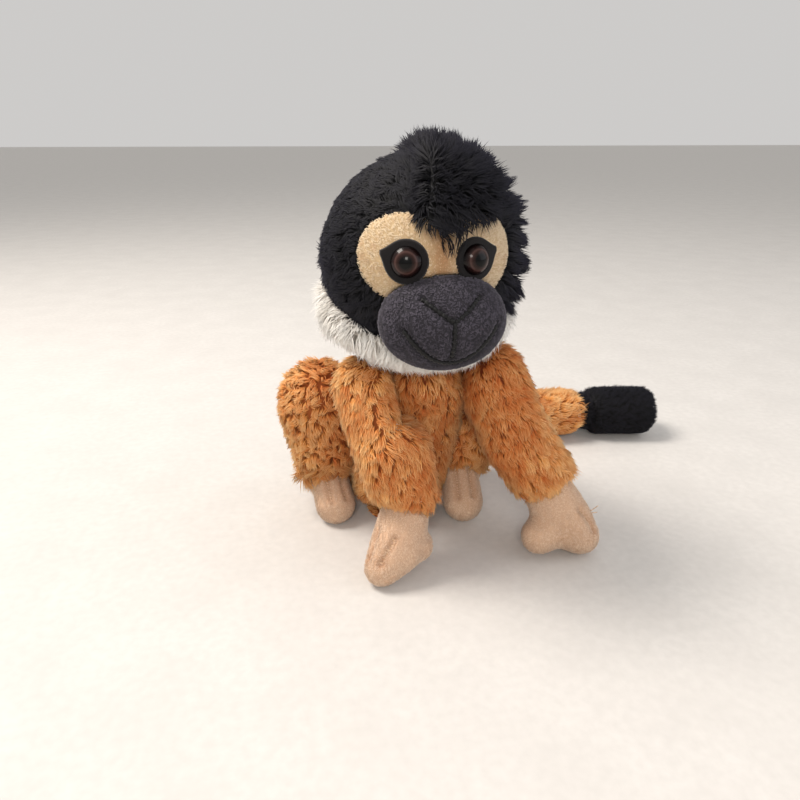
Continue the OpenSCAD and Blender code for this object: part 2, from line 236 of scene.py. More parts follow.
@dataclass(frozen=True)
class ClothFinish:
    """Plain fibres seen close: mottled, matt, with a fine raised grain.

    Attributes:
        name: The material's name.
        dark: Colour in the hollows of the grain.
        pale: Colour on top of the grain.
        grain_mm: Size of one fibre bundle or thread.
        raised_mm: How far the grain stands up.
        roughness: Roughness of the fibres.
        sheen: How strongly the fibre ends catch light from the side.
        twist: True for plied thread, whose grain runs round it in bands.
    """

    name: str
    dark: str
    pale: str
    grain_mm: float
    raised_mm: float
    roughness: float = 0.9
    sheen: float = 0.2
    twist: bool = False

    @lru_cache
    def material(self) -> bpy.types.Material:
        """Builds the material once.

        Returns:
            A material whose grain follows Object coordinates.
        """
        made = new_material(self.name)
        place = add_node(made, "ShaderNodeTexCoord").outputs["Object"]
        scale = 1 / (self.grain_mm * MM)
        mottle = add_node(made, "ShaderNodeTexNoise", {"Vector": place, "Scale": scale / 8, "Detail": 3.0})
        if self.twist:
            bands = {"Vector": place, "Scale": scale / math.tau, "Distortion": 1.0}
            grain = add_node(made, "ShaderNodeTexWave", bands, bands_direction="DIAGONAL")
        else:
            grain = add_node(made, "ShaderNodeTexNoise", {"Vector": place, "Scale": scale, "Detail": 2.0})
        factors = {0: grain.outputs["Fac"], 1: mottle.outputs["Fac"]}
        level = add_node(made, "ShaderNodeMath", factors, operation="MULTIPLY")
        stops = ((0.08, self.dark), (0.42, self.pale))
        colour = add_node(made, "ShaderNodeValToRGB", {0: level.outputs[0]}, stops=stops)
        relief = {"Height": grain.outputs["Fac"], "Strength": 0.6, "Distance": self.raised_mm * MM}
        raised = add_node(made, "ShaderNodeBump", relief)
        set_surface(
            made,
            {
                "Base Color": colour.outputs[0],
                "Roughness": self.roughness,
                "Specular IOR Level": 0.3,
                "Sheen Weight": self.sheen,
                "Normal": raised.outputs[0],
            },
        )
        return made


@dataclass(frozen=True)
class EyeFinish:
    """Moulded acrylic safety eye, tinted brown over a black painted pupil.

    Attributes:
        name: The material's name.
        rings: Colour at each share of the dome's radius.
    """

    name: str
    rings: tuple[tuple[float, str], ...]

    @lru_cache
    def material(self) -> bpy.types.Material:
        """Builds the material once.

        Returns:
            A glossy material whose rings follow the dome's own UV map.
        """
        made = new_material(self.name)
        uv = add_node(made, "ShaderNodeUVMap", uv_map=PILE_UV)
        ends = {0: uv.outputs[0], 1: (0.5, 0.5, 0.0)}
        far = add_node(made, "ShaderNodeVectorMath", ends, operation="DISTANCE")
        share = add_node(made, "ShaderNodeMath", {0: far.outputs["Value"], 1: 2.0}, operation="MULTIPLY")
        colour = add_node(made, "ShaderNodeValToRGB", {0: share.outputs[0]}, stops=self.rings)
        set_surface(
            made,
            {
                "Base Color": colour.outputs[0],
                "Roughness": 0.22,
                "IOR": 1.49,
                "Specular IOR Level": 0.12,
                "Coat Weight": 0.18,
                "Coat Roughness": 0.04,
            },
        )
        return made


# Golden polyester pile: rusty at the root and straw at the tip, so locks glow at their edges
# Its darkest, reddest tufts also stand for painted shade wherever a tint field lowers the tint
GOLDEN_PILE = PileFinish(
    "golden_polyester_pile",
    ("#7A2C12", "#B6571F", "#D47E3C"),
    ("#B4662C", "#E9A055", "#FDD296"),
    0.25,
    "#FFE0B0",
)
# Black polyester pile: swallows light but for a faint violet edge on the fibre ends
BLACK_PILE = PileFinish(
    "black_polyester_pile",
    ("#030306", "#08080D", "#0E0E16"),
    ("#040407", "#0B0B12", "#191823"),
    0.06,
    "#8A88B8",
)
# White polyester pile: bright tips over warm grey roots, so wisps part from one another
WHITE_PILE = PileFinish(
    "white_polyester_pile",
    ("#B9B0A6", "#DDD7CE", "#F0ECE5"),
    ("#D8D1C8", "#F5F2EC", "#FFFFFE"),
    0.3,
    "#FFFFFF",
)
# Short cream pile: chalky and soft, tan where it is dyed over the bridge of the nose
CREAM_VELBOA = PileFinish(
    "cream_short_pile",
    ("#A87B52", "#B98A60", "#C49A72"),
    ("#D2BA94", "#DFC9A8", "#EBDABE"),
    0.25,
    "#FFF2D8",
    0.8,
)
# Short pinkish cream pile: a skin-like bloom, with browner painted shade down in the creases
PINK_VELBOA = PileFinish(
    "pink_cream_short_pile",
    ("#A97C5E", "#B98C6C", "#C99E7E"),
    ("#D9B698", "#E6C7AB", "#F1D9C2"),
    0.25,
    "#FFF0E2",
    0.8,
)
# Blue-grey fleece: a felted, cloudy surface with small curls that catch light
GREY_FLEECE = PileFinish(
    "blue_grey_fleece",
    ("#201E22", "#29272C", "#343138"),
    ("#37343B", "#48444D", "#5E5965"),
    0.2,
    "#C8C4D0",
    0.85,
)
# Moulded acrylic: a wet highlight over a brown ring, with a black pupil and a dark rim
BROWN_EYE = EyeFinish(
    "brown_acrylic_eye",
    (
        (0.0, "#010101"),
        (0.34, "#020202"),
        (0.40, "#160C0A"),
        (0.56, "#2E1C18"),
        (0.66, "#4A3430"),
        (0.74, "#241412"),
        (0.90, "#0C0606"),
        (1.0, "#030202"),
    ),
)
# Wool felt: flat black with no highlight, which sets the glossy eye off
BLACK_FELT = ClothFinish("black_wool_felt", "#030203", "#120D0F", 0.35, 0.12)
# Plied embroidery thread: slight satin bands that read as stitches on the fleece
BLACK_THREAD = ClothFinish("black_embroidery_thread", "#020202", "#0D0D10", 0.5, 0.1, 0.6, 0.1, True)
# Sewing thread: fine twisted bands, a little paler than the cloth it draws in
TAN_THREAD = ClothFinish("tan_sewing_thread", "#B98F6C", "#E6C8A6", 0.5, 0.1, 0.7, 0.1, True)
# Polyester fibre fill: a cloudy white mass, seen only when the toy is opened
FIBRE_FILL = ClothFinish("polyester_fibre_fill", "#C9C7C2", "#F4F3F0", 1.2, 0.5)
# Plain cotton bag: dull oatmeal cloth round the pellets
POUCH_COTTON = ClothFinish("pellet_pouch_cotton", "#B4ADA0", "#DDD8CC", 0.8, 0.25)
# Knitted lining: off-white, matt and finely ribbed
NECK_LINING = ClothFinish("white_knitted_lining", "#B9B2A8", "#E9E5DE", 0.7, 0.2)
# Moulded nylon: smooth, milky, and the only hard gleam inside the head
WASHER_NYLON = ClothFinish("moulded_nylon_washer", "#D9D9D4", "#F0F0EC", 0.9, 0.02, 0.45, 0.0)
# Woven satin ribbon: off-white with a soft gleam across its threads
LABEL_SATIN = ClothFinish("woven_satin_label", "#D8D2C6", "#F6F2EA", 0.4, 0.05, 0.5, 0.1, True)


# ---------- meshes ----------


def take(piece: bpy.types.Object) -> None:
    """Selects this piece alone and makes it active."""
    bpy.ops.object.select_all(action="DESELECT")
    piece.select_set(True)
    bpy.context.view_layer.objects.active = piece


def shape(name: str, kind: str, **settings: object) -> bpy.types.Object:
    """Adds one of the plain shapes, selected and active.

    Args:
        name: The new piece's name.
        kind: The shape's name.
        **settings: Its sizes.

    Returns:
        The piece.
    """
    bpy.ops.object.select_all(action="DESELECT")
    getattr(bpy.ops.mesh, f"primitive_{kind}_add")(**settings)
    piece = bpy.context.active_object
    piece.name = piece.data.name = name
    return piece


def extrude_up(rise: float, narrower: float) -> None:
    """Draws the selected faces out along Z and narrows their new end."""
    bpy.ops.mesh.extrude_region_move(TRANSFORM_OT_translate={"value": (0, 0, rise * MM)})
    bpy.ops.transform.resize(value=(narrower, narrower, 1.0))


def apply_modifier(piece: bpy.types.Object, kind: str, **settings: object) -> None:
    """Adds one modifier and applies it.

    Args:
        piece: The object to change.
        kind: The modifier's type.
        **settings: The modifier's properties.
    """
    modifier = piece.modifiers.new(kind, kind)
    for key, value in settings.items():
        setattr(modifier, key, value)
    take(piece)
    bpy.ops.object.modifier_apply(modifier=modifier.name)


def rows_from(items: Sequence, field: str, kind: type) -> np.ndarray:
    """Reads a property with three parts from a mesh's items.

    Args:
        items: The mesh's vertices, normals or triangles.
        field: The property's name.
        kind: The type of its numbers.

    Returns:
        One row for each item.
    """
    flat = np.empty(len(items) * 3, kind)
    items.foreach_get(field, flat)
    return flat.reshape(-1, 3)


def points_of(mesh: bpy.types.Mesh) -> np.ndarray:
    """A mesh's vertices in millimetres, one row each."""
    return rows_from(mesh.vertices, "co", np.float32).astype(float) / MM


def set_points(mesh: bpy.types.Mesh, points: np.ndarray) -> None:
    """Moves a mesh's vertices to points in millimetres."""
    mesh.vertices.foreach_set("co", (points * MM).astype(np.float32).ravel())
    mesh.update()


def normals_of(mesh: bpy.types.Mesh) -> np.ndarray:
    """A mesh's vertex normals, one row each."""
    return rows_from(mesh.vertex_normals, "vector", np.float32).astype(float)


def triangles_of(mesh: bpy.types.Mesh) -> np.ndarray:
    """The vertex numbers of a mesh's triangles, one row each."""
    mesh.calc_loop_triangles()
    return rows_from(mesh.loop_triangles, "vertices", np.int32)


def surface_tree(mesh: bpy.types.Mesh) -> BVHTree:
    """A search tree, in millimetres, over one mesh's surface."""
    return BVHTree.FromPolygons(points_of(mesh).tolist(), triangles_of(mesh).tolist())


def point_tree(places: np.ndarray) -> kdtree.KDTree:
    """A search tree over points.

    Args:
        places: The points, one row each.

    Returns:
        The tree, which numbers them by their rows.
    """
    tree = kdtree.KDTree(len(places))
    for index, place in enumerate(places.tolist()):
        tree.insert(place, index)
    tree.balance()
    return tree


def bump(gap: np.ndarray, width: float, power: int = 2) -> np.ndarray:
    """1 where a gap is nothing, and almost 0 beyond a width."""
    return np.exp(-((gap / width) ** power))


def fade(gap: np.ndarray, width: float) -> np.ndarray:
    """From 1 below zero to 0 above it, over a few widths."""
    return 1 / (1 + np.exp(gap / width))


def unit(rows: np.ndarray) -> np.ndarray:
    """Rows scaled to length 1."""
    return rows / np.maximum(np.linalg.norm(rows, axis=1, keepdims=True), 1e-9)


def mesh_of(
    name: str, points: np.ndarray, faces: np.ndarray, uv: np.ndarray, normals: np.ndarray
) -> bpy.types.Mesh:
    """Builds a triangle mesh with the pile's UV layer.

    Args:
        name: The mesh's name.
        points: Vertices in millimetres.
        faces: Vertex numbers of each triangle.
        uv: One row for each corner of each triangle.
        normals: The way that light sees each vertex face.

    Returns:
        The smooth-shaded mesh.
    """
    mesh = bpy.data.meshes.new(name)
    mesh.vertices.add(len(points))
    mesh.loops.add(faces.size)
    mesh.polygons.add(len(faces))
    mesh.vertices.foreach_set("co", (points * MM).astype(np.float32).ravel())
    mesh.loops.foreach_set("vertex_index", faces.astype(np.int32).ravel())
    mesh.polygons.foreach_set("loop_start", np.arange(0, faces.size, 3, dtype=np.int32))
    mesh.polygons.foreach_set("use_smooth", np.ones(len(faces), bool))
    layer = mesh.uv_layers.new(name=PILE_UV)
    layer.uv.foreach_set("vector", uv.astype(np.float32).ravel())
    mesh.update(calc_edges=True)
    mesh.normals_split_custom_set_from_vertices(normals.tolist())
    return mesh


@lru_cache(maxsize=None)
def tree_of(*nodes: str) -> BVHTree:
    """A search tree, in millimetres, over CAD nodes' surfaces.

    Args:
        *nodes: The names of the nodes.

    Returns:
        The tree.
    """
    points, faces, start = [], [], 0
    for node in nodes:
        mesh = frame["nodes"][node].data
        own = points_of(mesh)
        points.append(own)
        faces.append(triangles_of(mesh) + start)
        start += len(own)
    return BVHTree.FromPolygons(np.vstack(points).tolist(), np.vstack(faces).tolist())


def distance_to(points: np.ndarray, *nodes: str) -> np.ndarray:
    """How far each point is from the CAD nodes' surfaces."""
    tree = tree_of(*nodes)
    return np.array([tree.find_nearest(p)[3] for p in points.tolist()])


def box_of(node: str) -> tuple[np.ndarray, np.ndarray]:
    """Lowest and highest corner of a CAD node in millimetres."""
    low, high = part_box(node)
    return np.array(low) / MM, np.array(high) / MM


def joint_at(name: str) -> np.ndarray:
    """Where a joint is, in millimetres."""
    return next(np.array(j["pos_m"]) / MM for j in frame["joints"] if j["name"] == name)


def smooth_noise(points: np.ndarray, size: float, seed: int) -> np.ndarray:
    """Soft random values, about -1 to 1, that change over a length.

    Args:
        points: Where to read it.
        size: The length over which it changes.
        seed: Number of the pattern.

    Returns:
        One value for each point.
    """
    rng = np.random.default_rng(seed)
    waves = unit(rng.normal(size=(14, 3))) * rng.uniform(0.6, 1.4, (14, 1)) * math.pi / size
    shift = rng.uniform(0, math.tau, 14)
    return np.sin(points @ waves.T + shift).mean(axis=1) * 2.4


@dataclass(frozen=True)
class Backing:
    """A sewn backing cloth, made as a closed skin from a CAD solid.

    Attributes:
        name: The new piece's name.
        node: The CAD node that it is made from.
        voxel: Edge length of the remeshed cloth.
        swell: How far it is let out from that solid.
        relax: Passes of smoothing.
        pressure: Pressure of the filling while it is stuffed, or 0.
        cap: How far stuffing may move it.
        finer: Subdivisions after stuffing.
        bridged: How far the cloth is let out and taken in again, which fills
            hollows that cloth would span.
    """

    name: str
    node: str
    voxel: float
    swell: float = 0.0
    relax: int = 4
    pressure: float = 0.0
    cap: float = 1.2
    finer: int = 0
    bridged: float = 0.0

    def build(self) -> bpy.types.Object:
        """Makes the skin.

        Returns:
            An object at the origin that holds the finished skin.
        """
        piece = self.copy()
        piece.data.transform(Matrix.Scale(BENCH, 4))
        apply_modifier(piece, "REMESH", mode="VOXEL", voxel_size=self.voxel * MM * BENCH)
        for out in (self.bridged, -self.bridged) if self.bridged else ():
            apply_modifier(piece, "DISPLACE", mid_level=0.0, strength=out * MM * BENCH)
            apply_modifier(piece, "SMOOTH", factor=0.5, iterations=3)
            apply_modifier(piece, "REMESH", mode="VOXEL", voxel_size=self.voxel * MM * BENCH)
        if self.swell:
            apply_modifier(piece, "DISPLACE", mid_level=0.0, strength=self.swell * MM * BENCH)
        apply_modifier(piece, "SMOOTH", factor=0.5, iterations=self.relax)
        if self.pressure:
            self.stuff(piece)
        if self.finer:
            apply_modifier(piece, "SUBSURF", levels=self.finer, render_levels=self.finer)
        piece.data.transform(Matrix.Scale(1 / BENCH, 4))
        points = points_of(piece.data)
        points[:, 2] = np.maximum(points[:, 2], SKIN_LIFT)
        set_points(piece.data, points)
        return piece

    def copy(self) -> bpy.types.Object:
        """Copies the CAD node and welds its corners.

        Returns:
            The copy.
        """
        piece = bpy.data.objects.new(self.name, frame["nodes"][self.node].data.copy())
        piece.data.materials.clear()
        bpy.context.scene.collection.objects.link(piece)
        take(piece)
        bpy.ops.object.mode_set(mode="EDIT")
        bpy.ops.mesh.select_all(action="SELECT")
        bpy.ops.mesh.remove_doubles(threshold=0.01 * MM)
        bpy.ops.object.mode_set(mode="OBJECT")
        piece.name = piece.data.name = self.name
        return piece

    def stuff(self, piece: bpy.types.Object) -> None:
        """Fills the skin under pressure, as cloth, and keeps the result.

        Args:
            piece: The skin, at bench scale.
        """
        rest, outward = points_of(piece.data), normals_of(piece.data)
        cloth = piece.modifiers.new("Stuffing", "CLOTH")
        cloth.settings.quality = 4
        cloth.settings.use_pressure = True
        cloth.settings.uniform_pressure_force = self.pressure
        cloth.settings.effector_weights.gravity = 0
        cloth.settings.bending_stiffness = 2.0
        cloth.collision_settings.use_collision = False
        cloth.point_cache.frame_end = STUFFING_STEPS
        for step in range(1, STUFFING_STEPS + 1):
            bpy.context.scene.frame_set(step)
        take(piece)
        bpy.ops.object.modifier_apply(modifier=cloth.name)
        bpy.context.scene.frame_set(1)
        move = points_of(piece.data) - rest
        move -= outward * np.minimum((move * outward).sum(1), 0.0)[:, None]
        far = np.linalg.norm(move, axis=1, keepdims=True)
        LOG.info("%s: cloth moved up to %.1f mm", piece.name, far.max() / BENCH)
        set_points(piece.data, rest + move * np.minimum(1.0, self.cap * BENCH / np.maximum(far, 1e-6)))


def near_line(points: np.ndarray, line: np.ndarray) -> np.ndarray:
    """How far each point is from the nearest of a line's points."""
    tree = point_tree(line)
    return np.array([tree.find(place)[2] for place in points.tolist()])


def crease(piece: bpy.types.Object, line: np.ndarray, depth: float, width: float) -> None:
    """Pulls a skin in along a sewn line.

    Args:
        piece: The skin.
        line: Points along the line, closer together than its width.
        depth: How deep the crease is.
        width: Half its width.
    """
    points = points_of(piece.data)
    pull = depth * bump(near_line(points, line), width)
    set_points(piece.data, points - normals_of(piece.data) * pull[:, None])


def sewn_thread(name: str, lines: Sequence[np.ndarray], radius: float, stitch: float) -> bpy.types.Object:
    """Thick embroidery thread through points, narrower where stitches meet.

    Args:
        name: The new piece's name.
        lines: Points along each line.
        radius: The thread's radius.
        stitch: Length of one stitch.

    Returns:
        The thread as a mesh.
    """
    curve = bpy.data.curves.new(name, "CURVE")
    curve.dimensions = "3D"
    curve.bevel_depth = radius * MM
    curve.bevel_resolution = 3
    curve.use_fill_caps = True
    for line in lines:
        spline = curve.splines.new("POLY")
        spline.points.add(len(line) - 1)
        travelled = np.concatenate(([0.0], np.cumsum(np.linalg.norm(np.diff(line, axis=0), axis=1))))
        for index, place in enumerate(line):
            spline.points[index].co = (*(place * MM), 1.0)
            phase = travelled[index] / stitch * math.pi
            spline.points[index].radius = 1.0 - 0.35 * abs(math.cos(phase)) ** 5
        spline.points[0].radius = spline.points[-1].radius = 0.35
    piece = bpy.data.objects.new(name, curve)
    bpy.context.scene.collection.objects.link(piece)
    take(piece)
    bpy.ops.object.convert(target="MESH")
    piece = bpy.context.active_object
    bpy.ops.object.shade_smooth()
    return piece


# ---------- pile ----------


@dataclass(frozen=True)
class Pile:
    """How the tufts of a pile fabric stand.

    A real fibre is a few hundredths of a millimetre thick. These tufts, about
    half a millimetre thick, are drawn coarser than real so that locks show.

    Attributes:
        length: Length of a tuft.
        width: Width of a tuft at its root.
        per_mm2: Tufts on a square millimetre.
        lie: How flat the tips lie, from 0, upright, to 1, flat.
        scatter: How much single tufts turn from their neighbours, in radians.
        swirl: How much whole locks turn, in radians.
        lock: Distance between locks.
        gather: How much a lock's tips draw together, from 0 to 1.
        mottle: Size of paler and darker areas.
        soft: How much tufts are lit like the cloth under them, from 0 to 1.
    """

    length: float
    width: float
    per_mm2: float
    lie: float
    scatter: float = 0.35
    swirl: float = 0.4
    lock: float = 2.6
    gather: float = 0.45
    mottle: float = 9.0
    soft: float = 0.6

    def grow(
        self,
        piece: bpy.types.Object,
        comb: Field,
        seed: int,
        keep: Keep | None = None,
        trim: Field | None = None,
        tint: Field | None = None,
        flat: Field | None = None,
    ) -> None:
        """Sews tufts all over a skin, in one mesh with it.

        Args:
            piece: The skin, whose mesh is replaced.
            comb: The way that the pile is brushed at each point.
            seed: Number of the random pattern.
            keep: Which roots get a tuft, from their places and normals.
            trim: Share of the full length at each point.
            tint: Tint from 0, dark, to 1, pale, at each point.
            flat: How much flatter the tufts lie at each point.
        """
        rng = np.random.default_rng(seed)
        skin, faces = points_of(piece.data), triangles_of(piece.data)
        root, up = self.roots(skin, faces, normals_of(piece.data), rng)
        if keep is not None:
            kept = keep(root, up)
            root, up = root[kept], up[kept]
        count = len(root)
        length = self.length * rng.normal(1.0, 0.16, count).clip(0.55, 1.4)
        if trim is not None:
            length *= trim(root)
        heads, lock = self.locks(root, rng)
        flow = comb(root)
        flow = unit(flow - up * (flow * up).sum(1, keepdims=True))
        turn = rng.normal(0, self.swirl, len(heads))[lock] + rng.normal(0, self.scatter, count)
        flow = flow * np.cos(turn)[:, None] + np.cross(up, flow) * np.sin(turn)[:, None]
        lie = self.lie + rng.normal(0, 0.06, len(heads))[lock] + rng.normal(0, 0.07, count)
        lie = (lie if flat is None else lie + flat(root)).clip(0.02, 0.98)
        low, high = (
            up * np.cos(lean)[:, None] + flow * np.sin(lean)[:, None]
            for lean in (lie * 0.5 * math.pi / 2, lie * math.pi / 2)
        )
        middle = root + low * length[:, None] * 0.5
        tip = middle + high * length[:, None] * 0.5
        draw = self.gather * rng.uniform(0.6, 1.2, count)[:, None]
        middle += (middle[heads][lock] - middle) * draw * 0.4
        tip += (tip[heads][lock] - tip) * draw
        shade = smooth_noise(root, self.mottle, seed + 1) * 0.16 + rng.normal(0, 0.13, len(heads))[lock]
        shade += rng.normal(0.0, 0.12, count) + (0.5 if tint is None else tint(root))
        path = (root - up * 0.4, root * 0.15 + middle * 0.85, tip)
        self.sew(piece, skin, faces, path, up, shade.clip(*TINTS), tint, rng)

    def roots(
        self, skin: np.ndarray, faces: np.ndarray, normals: np.ndarray, rng: np.random.Generator
    ) -> tuple[np.ndarray, np.ndarray]:
        """Picks roots evenly over a skin.

        Args:
            skin: The skin's vertices.
            faces: The skin's triangles.
            normals: The skin's vertex normals.
            rng: Source of random numbers.

        Returns:
            The roots and the skin's normals there.
        """
        corner = skin[faces]
        area = np.linalg.norm(np.cross(corner[:, 1] - corner[:, 0], corner[:, 2] - corner[:, 0]), axis=1) / 2
        count = int(area.sum() * self.per_mm2)
        pick = np.searchsorted(np.cumsum(area) / area.sum(), rng.random(count)).clip(0, len(faces) - 1)
        mix = rng.random((count, 2))
        mix = np.where(mix.sum(1, keepdims=True) > 1, 1 - mix, mix)
        share = np.column_stack((1 - mix.sum(1), mix))[:, :, None]
        return (corner[pick] * share).sum(1), unit((normals[faces[pick]] * share).sum(1))

    def locks(self, root: np.ndarray, rng: np.random.Generator) -> tuple[np.ndarray, np.ndarray]:
        """Groups tufts into locks.

        Args:
            root: The tufts' roots.
            rng: Source of random numbers.

        Returns:
            The number of each lock's middle tuft, and each tuft's lock.
        """
        count = max(1, int(len(root) / (self.per_mm2 * self.lock**2)))
        heads = rng.choice(len(root), count, replace=False)
        tree = point_tree(root[heads])
        return heads, np.array([tree.find(place)[1] for place in root.tolist()])

    def sew(
        self,
        piece: bpy.types.Object,
        skin: np.ndarray,
        faces: np.ndarray,
        path: tuple[np.ndarray, np.ndarray, np.ndarray],
        up: np.ndarray,
        shade: np.ndarray,
        tint: Field | None,
        rng: np.random.Generator,
    ) -> None:
        """Builds closed spindle-shaped tufts and joins them to the skin's mesh.

        Args:
            piece: The piece that takes the mesh.
            skin: The skin's vertices.
            faces: The skin's triangles.
            path: Root, broadest place and tip of each tuft.
            up: The skin's normal at each root.
            shade: Each tuft's tint.
            tint: Tint of the skin at each point.
            rng: Source of random numbers.
        """
        root, middle, tip = path
        count = len(root)
        axis = unit(tip - root)
        across = unit(np.cross(axis, rng.normal(size=(count, 3))))
        along = np.cross(axis, across)
        ring = [across * math.cos(math.tau * k / 3) + along * math.sin(math.tau * k / 3) for k in range(3)]
        broad = (self.width / 2 * rng.uniform(0.75, 1.25, count))[:, None]
        rows = [root, *(middle + way * broad for way in ring), tip]
        lit = [up, *(unit(way * (1 - self.soft) + up * self.soft) for way in ring), unit(axis * 0.4 + up)]
        for row in rows:
            row[:, 2] = np.maximum(row[:, 2], TUFT_LIFT)
        pattern = np.array([f for k, n in ((1, 2), (2, 3), (3, 1)) for f in ((k, n, 4), (n, k, 0))])
        tuft_faces = (pattern[None] + (np.arange(count) * len(rows))[:, None, None]).reshape(-1, 3)
        u = shade[:, None, None] + np.array([0.0, -0.05, 0.0, 0.05, 0.0])[pattern][None]
        v = np.broadcast_to(np.array([0.0, 0.45, 0.45, 0.45, 1.0])[pattern][None], u.shape)
        skin_tint = np.full(len(skin), 0.5) if tint is None else tint(skin).clip(*TINTS)
        skin_uv = np.column_stack((skin_tint[faces.ravel()], np.full(faces.size, 0.02)))
        old, skin_normals = piece.data, normals_of(piece.data)
        piece.data = mesh_of(
            piece.name,
            np.vstack((skin, np.stack(rows, axis=1).reshape(-1, 3))),
            np.vstack((faces, tuft_faces + len(skin))),
            np.vstack((skin_uv, np.stack((u, v), axis=-1).reshape(-1, 2))),
            np.vstack((skin_normals, np.stack(lit, axis=1).reshape(-1, 3))),
        )
        bpy.data.meshes.remove(old)


def comb_away(start: Sequence[float], droop: float) -> Field:
    """Pile brushed away from a point, and somewhat down.

    Args:
        start: The point.
        droop: How strongly it hangs.

    Returns:
        The brushing direction at each point.
    """
    return lambda points: unit(points - np.array(start)) + np.array([0.0, 0.0, -droop])


def comb_to(way: Sequence[float]) -> Field:
    """Pile brushed one way all over."""
    return lambda points: np.broadcast_to(np.array(way, float), points.shape)


def comb_along(spine: Sequence[np.ndarray]) -> Field:
    """Pile brushed along a limb's middle line.

    Args:
        spine: Points on that line.

    Returns:
        The brushing direction at each point.
    """
    stations = np.array(spine)
    ways = unit(np.diff(stations, axis=0))
    middles = (stations[:-1] + stations[1:]) / 2

    def brush(points: np.ndarray) -> np.ndarray:
        """The direction of the nearest stretches."""
        gap = np.linalg.norm(points[:, None] - middles[None], axis=2)
        share = np.exp(-((gap / gap.min(axis=1, keepdims=True)) ** 2) * 2)
        return (share[:, :, None] * ways[None]).sum(1)

    return brush


def clear_of(gap: float, *nodes: str) -> Keep:
    """Keeps roots that are further than a gap from CAD nodes."""
    return lambda points, normals: distance_to(points, *nodes) > gap


def outside(centre: np.ndarray, least: float = 0.15) -> Keep:
    """Keeps roots on faces that look away from a centre."""
    return lambda points, normals: (unit(points - centre) * normals).sum(1) > least


def both(first: Keep, second: Keep) -> Keep:
    """Keeps roots that pass two tests."""
    return lambda points, normals: first(points, normals) & second(points, normals)


def plain(dye: float) -> Field:
    """The same tint all over."""
    return lambda points: np.full(len(points), dye)


def settle(
    piece: bpy.types.Object,
    finish: PileFinish | ClothFinish | EyeFinish,
    body: str,
    node: str | None,
) -> None:
    """Dresses a piece and joins it to the frame.

    Args:
        piece: The finished piece.
        finish: Its finish.
        body: The CAD body that it rides on.
        node: The CAD node that it replaces, or None.
    """
    piece.data.materials.clear()
    piece.data.materials.append(finish.material())
    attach(piece, body)
    if node is not None:
        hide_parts(node)
    LOG.info("%s: %d faces on %s", piece.name, len(piece.data.polygons), body)


# ---------- the toy ----------


